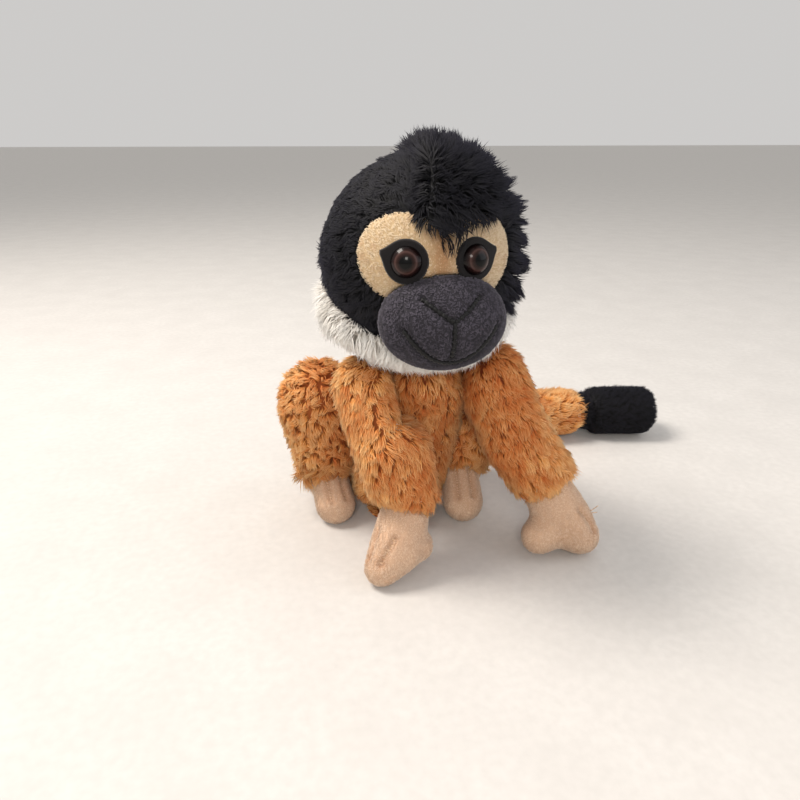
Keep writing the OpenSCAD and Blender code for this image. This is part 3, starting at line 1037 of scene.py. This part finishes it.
@dataclass
class Head:
    """Hood, crest, mask, muzzle, throat and eyes.

    Attributes:
        side_pile: Pile of the hood's side panels.
        crest_pile: Pile of the hood's crest.
        throat_pile: Long wispy pile of the throat and cheeks.
        nap: Short nap of the mask.
        fleece: Raised surface of the muzzle's fleece.
        eye_turn: How far an eye looks outward, in degrees.
        eye_tilt: How far an eye's axis is from straight up, in degrees.
        eye_r: Radius of an eye.
        dome_h: Height of its dome.
        nose_rise: Height of the nose's middle above the muzzle's middle.
        wing: Width and height of one arm of the nose's V.
        lip: Height of the mouth's lowest place above the muzzle's middle.
        mouth_half: Half the mouth's width.
        fringe_x: How far left of the middle the hood's fringe hangs.
        fringe_half: Half the fringe's width.
        fringe_deep: How far from the mask it still hangs.
    """

    side_pile: Pile = Pile(5.6, 0.58, 3.4, 0.78, lock=2.4, gather=0.45, swirl=0.5)
    crest_pile: Pile = Pile(6.6, 0.58, 3.4, 0.48, lock=2.2, gather=0.4, swirl=0.7)
    throat_pile: Pile = Pile(9.0, 0.44, 3.3, 0.8, lock=3.0, gather=0.35, swirl=0.25)
    nap: Pile = Pile(1.0, 0.37, 4.2, 0.72, lock=1.5, gather=0.2, soft=0.95)
    fleece: Pile = Pile(0.9, 0.56, 3.7, 0.8, lock=1.6, gather=0.25, swirl=1.2, mottle=4.0, soft=0.9)
    eye_turn: float = 17.0
    eye_tilt: float = 86.0
    eye_r: float = 5.6
    dome_h: float = 3.4
    nose_rise: float = 3.5
    wing: tuple[float, float] = (10.2, 7.2)
    lip: float = -12.2
    mouth_half: float = 16.6
    fringe_x: float = 6.0
    fringe_half: float = 15.0
    fringe_deep: float = 8.0

    def __post_init__(self) -> None:
        """Reads the head's middle and radius off its filling."""
        low, high = box_of("head_stuffing")
        self.radius = (high[0] - low[0]) / 2
        self.centre = np.array([(low[0] + high[0]) / 2, (low[1] + high[1]) / 2, high[2] - self.radius])
        self.face = self.centre - np.array([0.0, self.radius, -2.0])

    def build(self) -> None:
        """Builds every piece of the head."""
        self.hood()
        self.mask()
        self.throat()
        self.muzzle()
        for side in Side:
            self.eye(side)
            self.eye_patch(side)

    def hood(self) -> None:
        """Black hood: two side panels and the raised crest."""
        away = comb_away(self.face, 0.5)

        def fringe(points: np.ndarray) -> np.ndarray:
            """1 where the hood hangs over the brow: in front, high up and near the mask."""
            out = points - self.centre
            across = bump(out[:, 0] - self.fringe_x, self.fringe_half, 4)
            low = bump(distance_to(points, "face_mask"), self.fringe_deep, 4)
            return across * low * (out[:, 1] < -12) * (out[:, 2] > -4)

        def brow(points: np.ndarray) -> np.ndarray:
            """1 on the front of the crest, and under the fringe."""
            return np.maximum(fringe(points), fade(points[:, 1] - self.centre[1] + 20, 4))

        def slope(points: np.ndarray) -> np.ndarray:
            """1 on the upper right, where the pile is brushed flat, and 0 under the crest."""
            out = points - self.centre
            return fade(out[:, 0] + 7, 2.5) / (1 + np.exp((6 - out[:, 2]) / 5))

        def trimmed(points: np.ndarray) -> np.ndarray:
            """Shorter pile close to the mask and the muzzle, but for the fringe."""
            close = (0.32 + distance_to(points, "face_mask", "muzzle") / 9).clip(0.32, 1.0)
            return np.maximum(close * (1.15 - 0.5 * slope(points)), 1.5 * fringe(points))

        def flat(points: np.ndarray) -> np.ndarray:
            """Flat over the brow and on the upper right."""
            return 0.36 * fringe(points) + 0.22 * slope(points)

        def hanging(share: Field) -> Field:
            """Pile brushed down over the face by this share, and else away."""
            down = np.array([0.12, -0.35, -1.0])
            return lambda p: away(p) * (1 - share(p)[:, None]) + down * share(p)[:, None]

        tufty = replace(self.side_pile, lie=0.42, gather=0.8, length=8.5, lock=3.8)
        looks = (
            ("hood_right", self.side_pile, away, 11, -0.2),
            ("hood_left", tufty, hanging(fringe), 12, 0.0),
            ("hood_crest", self.crest_pile, hanging(brow), 13, -0.5),
        )
        for node, pile, comb, seed, swell in looks:
            piece = Backing(f"{node}_pile", node, 0.9, swell=swell, relax=3).build()
            pile.grow(piece, comb, seed, outside(self.centre, 0.05), trimmed, flat=flat)
            settle(piece, BLACK_PILE, "head", node)

    def mask(self) -> None:
        """Cream mask round the eyes, tan over the bridge of the nose."""
        piece = Backing("face_mask_pile", "face_mask", 0.8, swell=0.6, relax=2).build()

        def tan_bridge(points: np.ndarray) -> np.ndarray:
            """Darker between the eyes."""
            gap = np.abs(points[:, 0] - self.centre[0])
            return 0.82 - 0.62 * bump(gap, 4.2)

        comb = comb_away(self.face + np.array([0.0, 0.0, -8.0]), 0.0)
        self.nap.grow(piece, comb, 21, outside(self.centre), tint=tan_bridge)
        settle(piece, CREAM_VELBOA, "head", "face_mask")

    def throat(self) -> None:
        """White ruff under the cheeks and chin."""
        piece = Backing("throat_ruff_pile", "throat_ruff", 1.6, relax=6).build()
        middle = self.centre - np.array([0.0, 0.0, 12.0])
        keep = both(outside(middle, -0.2), clear_of(1.2, "head_stuffing", "muzzle", "neck_tube"))
        self.throat_pile.grow(piece, comb_away(middle + np.array([0, 0, 30.0]), 1.2), 31, keep)
        settle(piece, WHITE_PILE, "head", "throat_ruff")

    def muzzle(self) -> None:
        """Fleece muzzle, pulled in along the nose and the mouth."""
        skin = Backing("muzzle_fleece", "muzzle_stuffing", 1.3, swell=1.7, pressure=3.0, cap=0.4, finer=1)
        piece = skin.build()
        low, high = box_of("muzzle_stuffing")
        middle = (low + high) / 2
        wing, rise = self.wing
        reach = np.linspace(0.0, 1.0, 50)
        nose = [
            [(side.value * wing * t, self.nose_rise + rise * t**1.15) for t in reach] for side in Side
        ]
        nose.append([(0.0, self.nose_rise * (1 - t) + (self.lip + 2.2) * t) for t in reach])
        mouth = [[(x, self.lip + 0.045 * x * x) for x in np.linspace(-self.mouth_half, self.mouth_half, 120)]]
        lines = {"nose_stitching": nose, "smile_stitching": mouth}
        drawn = [self.on_skin(piece, mark, middle, 0.0) for marks in lines.values() for mark in marks]
        crease(piece, np.vstack(drawn), depth=1.4, width=1.5)
        sewn = {
            node: [self.on_skin(piece, mark, middle, 0.35) for mark in marks] for node, marks in lines.items()
        }
        every = np.vstack([line for group in sewn.values() for line in group])
        for node, group in sewn.items():
            thread = sewn_thread(f"{node}_thread", group, radius=0.92, stitch=1.9)
            settle(thread, BLACK_THREAD, "head", node)

        def dark_creases(points: np.ndarray) -> np.ndarray:
            """Painted shade: darker where the cloth is pulled in, and under the chin."""
            # Painted shade under the chin and along the pulled-in stitch lines.
            under = ((middle[2] + 6 - points[:, 2]) / 20).clip(0, 1)
            return 0.7 - 0.3 * under - 0.5 * bump(near_line(points, every), 1.5)

        keep = both(lambda p, n: near_line(p, every) > 0.75, clear_of(0.6, "head_stuffing"))
        self.fleece.grow(piece, comb_to((0.3, 0.0, -1.0)), 41, keep, tint=dark_creases)
        settle(piece, GREY_FLEECE, "head", "muzzle")

    @staticmethod
    def on_skin(
        piece: bpy.types.Object, mark: Sequence[tuple[float, float]], middle: np.ndarray, out: float
    ) -> np.ndarray:
        """Lays a drawn line on the front of a skin.

        Args:
            piece: The skin.
            mark: Points across and up from the middle.
            middle: The muzzle's middle.
            out: How far the line stands off the skin.

        Returns:
            The line's points.
        """
        tree = surface_tree(piece.data)
        line = []
        for x, z in mark:
            start = Vector((middle[0] + x, middle[1] - 60.0, middle[2] + z))
            place, normal, _, _ = tree.ray_cast(start, Vector((0.0, 1.0, 0.0)))
            if place is not None:
                line.append(np.array(place + normal * out))
        return np.array(line)

    def eye_frame(self, side: Side, out: float) -> Matrix:
        """Where an eye stands: its middle, with +Z outward, in metres.

        Args:
            side: Which eye.
            out: Distance outward from the head's skin.

        Returns:
            The matrix that places it.
        """
        low, high = box_of(f"eye_washer_{side.word}")
        turn = Matrix.Rotation(math.radians(side.value * self.eye_turn), 4, "Z")
        turn = turn @ Matrix.Rotation(math.radians(self.eye_tilt), 4, "X")
        axis = np.array(turn.col[2][:3])
        at = (low + high) / 2 + axis * (4.6 + out)
        return Matrix.Translation(Vector(at * MM)) @ turn

    def eye(self, side: Side) -> None:
        """Domed brown eye with a turned-under rim."""
        ball = (self.eye_r**2 + self.dome_h**2) / (2 * self.dome_h)
        piece = shape(f"eye_{side.word}_dome", "uv_sphere", segments=64, ring_count=48, radius=ball * MM)
        bpy.ops.object.mode_set(mode="EDIT")
        bpy.ops.mesh.select_all(action="SELECT")
        bpy.ops.mesh.bisect(
            plane_co=(0, 0, (ball - self.dome_h) * MM), plane_no=(0, 0, 1), clear_inner=True, use_fill=True
        )
        extrude_up(-0.9, 0.93)
        bpy.ops.object.mode_set(mode="OBJECT")
        piece.data.transform(Matrix.Translation((0, 0, -(ball - self.dome_h) * MM)))
        apply_modifier(piece, "BEVEL", width=0.25 * MM, segments=3, limit_method="ANGLE", angle_limit=0.6)
        points = points_of(piece.data)
        layer = piece.data.uv_layers.get(PILE_UV) or piece.data.uv_layers.new(name=PILE_UV)
        corners = np.empty(len(piece.data.loops), np.int32)
        piece.data.loops.foreach_get("vertex_index", corners)
        across = 0.5 + points[corners, :2] / self.eye_r / 2
        layer.uv.foreach_set("vector", across.astype(np.float32).ravel())
        for other in [spare for spare in piece.data.uv_layers if spare.name != PILE_UV]:
            piece.data.uv_layers.remove(other)
        take(piece)
        bpy.ops.object.shade_smooth()
        piece.data.transform(self.eye_frame(side, out=1.35))
        settle(piece, BROWN_EYE, "head", f"eye_{side.word}")

    def eye_patch(self, side: Side) -> None:
        """Felt surround, domed, with a point at its outer corner."""
        name, rim = f"eye_patch_{side.word}_felt", self.eye_r + 2.3
        piece = shape(name, "circle", vertices=48, radius=rim * MM, fill_type="TRIFAN")
        points = points_of(piece.data)
        bearing = np.degrees(np.arctan2(points[:, 1], points[:, 0] * side.value))
        pointed = np.exp(-np.abs((bearing - 20.0) / 13.0)) * (np.linalg.norm(points, axis=1) > 1)
        set_points(piece.data, points * (1 + 0.36 * pointed)[:, None])
        bpy.ops.object.mode_set(mode="EDIT")
        bpy.ops.mesh.select_all(action="SELECT")
        extrude_up(1.3, 0.93)
        bpy.ops.mesh.select_all(action="SELECT")
        bpy.ops.mesh.normals_make_consistent(inside=False)
        bpy.ops.object.mode_set(mode="OBJECT")
        apply_modifier(piece, "BEVEL", width=0.35 * MM, segments=3, limit_method="ANGLE", angle_limit=0.6)
        take(piece)
        bpy.ops.object.shade_smooth()
        piece.data.transform(self.eye_frame(side, out=0.3))
        settle(piece, BLACK_FELT, "head", f"eye_patch_{side.word}")


@dataclass
class Torso:
    """Chest, back and seat panels, and the care label.

    Attributes:
        pile: Golden pile.
        seat_pile: The same pile, pressed flat under the toy.
        chest_dye: Tint of the chest, darker and redder as painted shade.
        back_dye: Tint of the back.
    """

    pile: Pile = Pile(6.5, 0.59, 2.15, 0.8, lock=2.6, gather=0.45, swirl=0.45)
    seat_pile: Pile = Pile(2.0, 0.6, 3.0, 0.95)
    # The chest's low tint is painted shade, darker and redder than the back.
    chest_dye: float = 0.3
    back_dye: float = 0.5

    def build(self) -> None:
        """Builds every piece of the torso."""
        hidden = [f"{limb}_stuffing_{side.word}" for limb in ("arm", "leg") for side in Side]
        keep = both(clear_of(4.2, *hidden), clear_of(1.5, "torso_stuffing"))
        combs = {
            "chest_panel": comb_to((0.05, -0.3, -1.0)),
            "back_panel_right": comb_to((-0.2, 0.35, -1.0)),
            "back_panel_left": comb_to((0.2, 0.35, -1.0)),
        }
        for seed, (node, comb) in enumerate(combs.items(), 51):
            piece = Backing(f"{node}_pile", node, 0.9, relax=3).build()
            # The chest panel's tufts take painted shade; the back's take their plain tint.
            dye = self.chest_dye if node == "chest_panel" else self.back_dye
            self.pile.grow(piece, comb, seed, keep, self.above_seat, plain(dye))
            settle(piece, GOLDEN_PILE, "torso", node)
        seat = Backing("seat_panel_pile", "seat_panel", 0.7, relax=2).build()
        self.seat_pile.grow(seat, comb_away((0, 0, 0), 0), 55, lambda p, n: n[:, 2] > 0.3)
        settle(seat, GOLDEN_PILE, "torso", "seat_panel")
        self.label()

    @staticmethod
    def above_seat(points: np.ndarray) -> np.ndarray:
        """Pile shortens towards the surface that the toy sits on."""
        return ((points[:, 2] - 1.0) / 14).clip(0.15, 1.0)

    def label(self) -> None:
        """Blank ribbon label, folded into a loop."""
        low, high = box_of("care_label")
        middle = (low + high) / 2
        piece = shape("care_label_ribbon", "plane", size=1.0)
        bpy.ops.object.mode_set(mode="EDIT")
        bpy.ops.mesh.select_all(action="SELECT")
        bpy.ops.mesh.subdivide(number_cuts=23)
        bpy.ops.object.mode_set(mode="OBJECT")
        points = points_of(piece.data) * MM
        around = points[:, 1] * math.tau * 0.94
        depth = np.sin(around) * (0.5 + 0.25 * np.cos(around))
        set_points(piece.data, np.column_stack((points[:, 0] * 9.6, np.cos(around) * 6.0, depth)))
        apply_modifier(piece, "SOLIDIFY", thickness=0.28 * MM, offset=0.0)
        apply_modifier(piece, "SUBSURF", levels=1, render_levels=1)
        take(piece)
        bpy.ops.object.shade_smooth()
        turn = Matrix.Rotation(math.radians(-14), 4, "Z") @ Matrix.Rotation(math.radians(-12), 4, "X")
        piece.data.transform(Matrix.Translation(Vector(middle * MM)) @ turn)
        settle(piece, LABEL_SATIN, "torso", "care_label")


@dataclass
class Limb:
    """A pile sleeve with a short-pile hand or foot.

    Attributes:
        side: Which side.
        upper: Name of the sleeve's part.
        lower: Name of the hand or foot.
        stitching: Name of the stitching between its fingers or toes.
        joints: The joints at the sleeve's two ends.
        pile: Pile of the sleeve.
        seed: Number of its random pattern.
        ease: How far the sleeve is let out.
        cuff: How much longer the pile is at the cuff.
        hem: How far the sleeve hangs down over the hand or foot.
        bridged: How far the hand's cloth spans the hollow by the thumb.
        plump: How far the hand's or foot's cloth is let out.
        loose_ends: True for stray thread at the hand's outer edge.
        nap: Nap of the hand or foot.
    """

    side: Side
    upper: str
    lower: str
    stitching: str
    joints: tuple[str, str]
    pile: Pile
    seed: int
    ease: float = 1.1
    cuff: float = 0.25
    hem: float = 0.0
    bridged: float = 0.0
    plump: float = 0.2
    loose_ends: bool = False
    nap: Pile = Pile(0.9, 0.37, 4.2, 0.6, lock=1.5, gather=0.2, soft=0.8)

    def name(self, part: str) -> str:
        """A part's name with this side's ending."""
        return f"{part}_{self.side.word}"

    def build(self) -> None:
        """Builds the sleeve, the hand or foot, and its stitches."""
        self.sleeve()
        self.end()

    def sleeve(self) -> None:
        """Golden sleeve, brushed along the limb."""
        filling = self.name(f"{self.upper}_stuffing")
        name = self.name(f"{self.upper}_sleeve_pile")
        piece = Backing(name, filling, 2.2, swell=self.ease, relax=5, pressure=3.0, finer=1).build()
        start, end = (joint_at(f"{joint}_{self.side.word}") for joint in self.joints)
        points = points_of(piece.data)
        points[:, 2] -= self.hem / (1 + np.exp((points[:, 2] - end[2] - 6.0) / 2.5))
        set_points(piece.data, points)
        keep = both(clear_of(4.0, "torso_stuffing"), clear_of(0.8, self.name(self.lower)))
        way = comb_to(end - start) if self.upper == "arm" else comb_to((0.0, -0.35, -1.0))

        def overhang(points: np.ndarray) -> np.ndarray:
            """Longer pile at the cuff, and short pile near the ground."""
            near = bump(np.linalg.norm(points - end, axis=1), 17.0, 4)
            return np.maximum(Torso.above_seat(points), near) * (1 + self.cuff * near)

        # A tint of painted light and shade across the sleeve, with a paler cuff.
        def dye(points: np.ndarray) -> np.ndarray:
            """Painted light and shade: paler on the outer side, where light falls, and redder and darker
            towards the chest, where shade falls; also paler at the cuff.
            """
            out = (points[:, 0] - (start[0] + end[0]) / 2) * self.side.value
            near = bump(np.linalg.norm(points - end, axis=1), 20.0)
            return 0.42 + 0.2 * np.tanh(out / 8) + 0.16 * near

        self.pile.grow(piece, way, self.seed, keep, overhang, dye)
        stands_for = self.name(f"{self.upper}_sleeve")
        settle(piece, GOLDEN_PILE, self.name(self.upper), stands_for)

    def end(self) -> None:
        """Hand or foot with creases between its fingers or toes."""
        node, stitches = self.name(self.lower), self.name(self.stitching)
        solid = self.name("hand_stuffing") if self.lower == "hand" else node
        skin = Backing(f"{node}_cloth", solid, 1.2, self.plump, 2, 3.0, 0.6, finer=1, bridged=self.bridged)
        piece = skin.build()
        tree = surface_tree(piece.data)
        rows = [self.on_cloth(tree, row) for row in self.rows_of(stitches)]
        line, tips = np.vstack(rows), np.vstack([row[-4:] for row in rows])
        crease(piece, line, depth=1.5 if self.lower == "hand" else 0.8, width=1.5)
        tree = surface_tree(piece.data)
        laid = [self.on_cloth(tree, row) for row in rows]
        threads = sewn_thread(f"{stitches}_thread", laid, radius=0.3, stitch=1.6)

        def darker_creases(points: np.ndarray) -> np.ndarray:
            """Darker where the cloth is pulled in, as painted shade, and worn at the fingertips."""
            worn = 0.3 * bump(near_line(points, tips), 3.0) if self.lower == "hand" else 0.0
            # Painted shade along the creases; the worn fingertips are real wear.
            return 0.85 - 0.4 * bump(near_line(points, line), 1.8) - worn

        reach = joint_at(f"{self.joints[1]}_{self.side.word}")
        self.nap.grow(piece, comb_away(reach, 0.2), self.seed + 5, tint=darker_creases)
        settle(piece, PINK_VELBOA, node, node)
        settle(threads, TAN_THREAD, node, stitches)
        if self.loose_ends:
            self.loose_thread(tree)

    def loose_thread(self, cloth: BVHTree) -> None:
        """Two stray ends of thread at the hand's outer edge.

        Args:
            cloth: The hand's cloth.
        """
        low, high = box_of(self.name(self.lower))
        edge = np.array([[high[0], (low[1] + high[1]) / 2 - 2.0, high[2] * 0.5]])
        start = self.on_cloth(cloth, edge) - np.array([0.6, 0.0, 0.0])
        reach = np.linspace(0.0, 1.0, 12)[:, None]
        curl = (0.0, 0.0, 1.4) * reach**2
        ends = [start + np.array([[5.0, -0.5, rise]]) * reach + curl for rise in (2.0, -1.6)]
        piece = sewn_thread(self.name("loose_thread"), ends, radius=0.22, stitch=1.6)
        settle(piece, TAN_THREAD, self.name(self.lower), None)

    @staticmethod
    def on_cloth(tree: BVHTree, row: np.ndarray) -> np.ndarray:
        """The points of a cloth nearest to the points of a row."""
        return np.array([list(tree.find_nearest(place)[0]) for place in row.tolist()])

    def rows_of(self, stitches: str) -> list[np.ndarray]:
        """Finds the two rows that a node's stitches stand in.

        Args:
            stitches: The node.

        Returns:
            Points along each row, which reaches a little past its stitches.
        """
        points = points_of(frame["nodes"][stitches].data)
        middle = points.mean(axis=0)
        ahead = middle - joint_at(f"{self.joints[1]}_{self.side.word}")
        ahead /= np.linalg.norm(ahead)
        across = np.cross(ahead, (0.0, 0.0, 1.0))
        rows = []
        for second in ((points - middle) @ across < 0, (points - middle) @ across >= 0):
            row = points[second]
            far = (row - middle) @ ahead
            steps = np.linspace(far.min() - 5.0, far.max() + 0.5, 34)
            rows.append(np.column_stack([np.polyval(np.polyfit(far, row[:, k], 1), steps) for k in range(3)]))
        return rows


@dataclass
class Tail:
    """Golden tail with a black end.

    Attributes:
        pile: Golden pile.
        tip_pile: Black pile of the end.
        dye: Tint of the golden pile, paler than the back's, as painted light.
        bend: Where the tail turns forward, across and along.
        crown: The outermost place of its curve.
    """

    pile: Pile = Pile(6.0, 0.55, 2.2, 0.72, lock=2.6, gather=0.4, swirl=0.4)
    tip_pile: Pile = Pile(4.2, 0.52, 3.6, 0.5, lock=2.0, gather=0.4, swirl=0.8)
    # Paler than the back, as painted light on the tail.
    dye: float = 0.66
    bend: tuple[float, float] = (40.0, 58.0)
    crown: tuple[float, float] = (86.0, 67.0)

    def build(self) -> None:
        """Builds the tail's sleeve and its black end."""
        root, seam = joint_at("tail_swing"), joint_at("tail_tip_swing")
        end = (box_of("tail_tip_gather")[0] + box_of("tail_tip_gather")[1]) / 2
        bend, crown = (np.array([*place, seam[2]]) for place in (self.bend, self.crown))
        skin = Backing("tail_sleeve_pile", "tail_stuffing", 2.2, swell=1.8, relax=5, pressure=3.0, finer=1)
        sleeve = skin.build()
        keep = both(clear_of(3.5, "torso_stuffing"), clear_of(1.5, "tail_tip"))
        comb = comb_along([root, bend, crown, seam, end])
        self.pile.grow(sleeve, comb, 81, keep, Torso.above_seat, plain(self.dye))
        settle(sleeve, GOLDEN_PILE, "tail", "tail_sleeve")
        skin = Backing("tail_tip_pile", "tail_tip_stuffing", 1.8, 1.3, 2, pressure=2.0, cap=0.5, finer=1)
        tip = skin.build()
        self.blunt(tip, seam, (end - seam) / np.linalg.norm(end - seam))
        self.tip_pile.grow(tip, comb_to(end - seam), 82, clear_of(2.0, "tail_stuffing"), Torso.above_seat)
        settle(tip, BLACK_PILE, "tail_end", "tail_tip")

    @staticmethod
    def blunt(tip: bpy.types.Object, seam: np.ndarray, axis: np.ndarray) -> None:
        """Squares off the tip's rounded end.

        Args:
            tip: The tip's skin.
            seam: Where the tip is sewn on.
            axis: The way it points.
        """
        points = points_of(tip.data)
        along = (points - seam) @ axis
        inner = points[np.abs(along - along.mean()) < 4]
        middle = inner.mean(axis=0)
        spine = middle + np.outer((points - middle) @ axis, axis)
        across = points - spine
        radius = np.linalg.norm(inner - middle - np.outer((inner - middle) @ axis, axis), axis=1).mean()
        past = ((along - (along.max() - radius)) / radius).clip(0.0, 0.985)
        wider = (1 - past**5) ** 0.2 / np.sqrt(1 - past**2)
        away = np.linalg.norm(across, axis=1)
        most = np.maximum(1.0, radius * (1 - past**8) ** 0.125 / np.maximum(away, 1e-3))
        set_points(tip.data, spine + across * np.minimum(wider, most)[:, None])


class Insides:
    """CAD pieces that stay, inside the toy or sewn flat on it."""

    DRESS: dict[str, object] = {
        "stuffing": FIBRE_FILL,
        "pellet_pouch": POUCH_COTTON,
        "closing_seam": TAN_THREAD,
        "neck_tube": NECK_LINING,
        "washer": WASHER_NYLON,
        "gather": BLACK_THREAD,
    }

    def build(self) -> None:
        """Gives each of them the finish that its name calls for."""
        for name, node in frame["nodes"].items():
            finish = next((f for word, f in self.DRESS.items() if word in name), None)
            if finish is None:
                continue
            for place in node.material_slots:
                place.material = finish.material()
            if not node.material_slots:
                node.data.materials.append(finish.material())
            LOG.info("%s: %s", name, finish.name)


# ---------- studio ----------


@dataclass
class Studio:
    """Pale floor, soft lamps and the camera.

    Attributes:
        camera_at: Place of the camera in metres.
        camera_turn: Its turn in degrees.
        lens: Its focal length.
        floor_size: The floor's sides in metres.
        lamps: Name, place in metres, size, power and colour of each lamp.
    """

    camera_at: tuple[float, float, float] = (-0.0618, -0.2905, 0.180)
    camera_turn: tuple[float, float, float] = (68.0, 0.0, -12.0)
    lens: float = 29.25
    floor_size: float = 30.0
    lamps: tuple[tuple[str, tuple[float, float, float], float, float, str], ...] = (
        ("key_lamp", (-0.60, 0.12, 1.05), 0.45, 13.0, "#FFF7EE"),
        ("front_lamp", (-0.30, -1.10, 0.70), 0.30, 5.0, "#FFF8F0"),
        ("fill_lamp", (0.95, -0.45, 0.50), 0.90, 2.5, "#F4F5FF"),
    )

    def build(self) -> None:
        """Sets up the camera, the lamps, the floor and the room's light."""
        lens = bpy.data.cameras.new("camera")
        lens.lens = self.lens
        lens.clip_start = 0.01
        camera = bpy.data.objects.new("camera", lens)
        camera.location = self.camera_at
        camera.rotation_euler = [math.radians(a) for a in self.camera_turn]
        bpy.context.scene.collection.objects.link(camera)
        bpy.context.scene.camera = camera
        for name, at, size, power, colour in self.lamps:
            light = bpy.data.lights.new(name, "AREA")
            light.size, light.energy, light.color = size, power, linear(colour)[:3]
            lamp = bpy.data.objects.new(name, light)
            lamp.location = at
            aim = Vector((0.0, 0.0, 0.08)) - Vector(at)
            lamp.rotation_euler = aim.to_track_quat("-Z", "Y").to_euler()
            bpy.context.scene.collection.objects.link(lamp)
        world = bpy.data.worlds.new("studio")
        world.use_nodes = True
        world.node_tree.nodes["Background"].inputs[0].default_value = linear("#F0EEEC")
        world.node_tree.nodes["Background"].inputs[1].default_value = 0.7
        bpy.context.scene.world = world
        bpy.context.scene.view_settings.view_transform = "Standard"
        self.floor()

    def floor(self) -> None:
        """Pale matt floor."""
        floor = shape("floor", "plane", size=self.floor_size)
        finish = ClothFinish("pale_matt_floor", "#CFCCC8", "#D8D5D1", 4.0, 0.02, 0.85, 0.0)
        floor.data.materials.append(finish.material())
        floor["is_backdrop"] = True


def main() -> None:
    """Builds the toy piece by piece."""
    logging.basicConfig(level=logging.INFO, format="%(name)s: %(message)s")
    Studio().build()
    Head().build()
    Torso().build()
    arm_pile = Pile(6.4, 0.53, 3.0, 0.86, lock=2.8, gather=0.45, swirl=0.3)
    leg_pile = Pile(5.5, 0.54, 2.55, 0.7, lock=2.4, gather=0.55, swirl=1.0, mottle=6.0)
    arm = ("arm", "hand", "finger_stitching", ("shoulder", "wrist"), arm_pile)
    leg = ("leg", "foot", "toe_stitching", ("hip", "ankle"), leg_pile)
    Limb(Side.RIGHT, *arm, 59, ease=1.0, bridged=1.2, plump=1.9).build()
    Limb(Side.RIGHT, *leg, 69, cuff=1.0, hem=7.0).build()
    Limb(Side.LEFT, *arm, 61, bridged=5.0, plump=2.8, loose_ends=True).build()
    Limb(Side.LEFT, *leg, 71, cuff=0.5, hem=3.0).build()
    Tail().build()
    Insides().build()
    total = sum(len(p.data.polygons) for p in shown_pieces() if p.type == "MESH")
    LOG.info("%d faces in all", total)


if __name__ == "__main__":
    main()
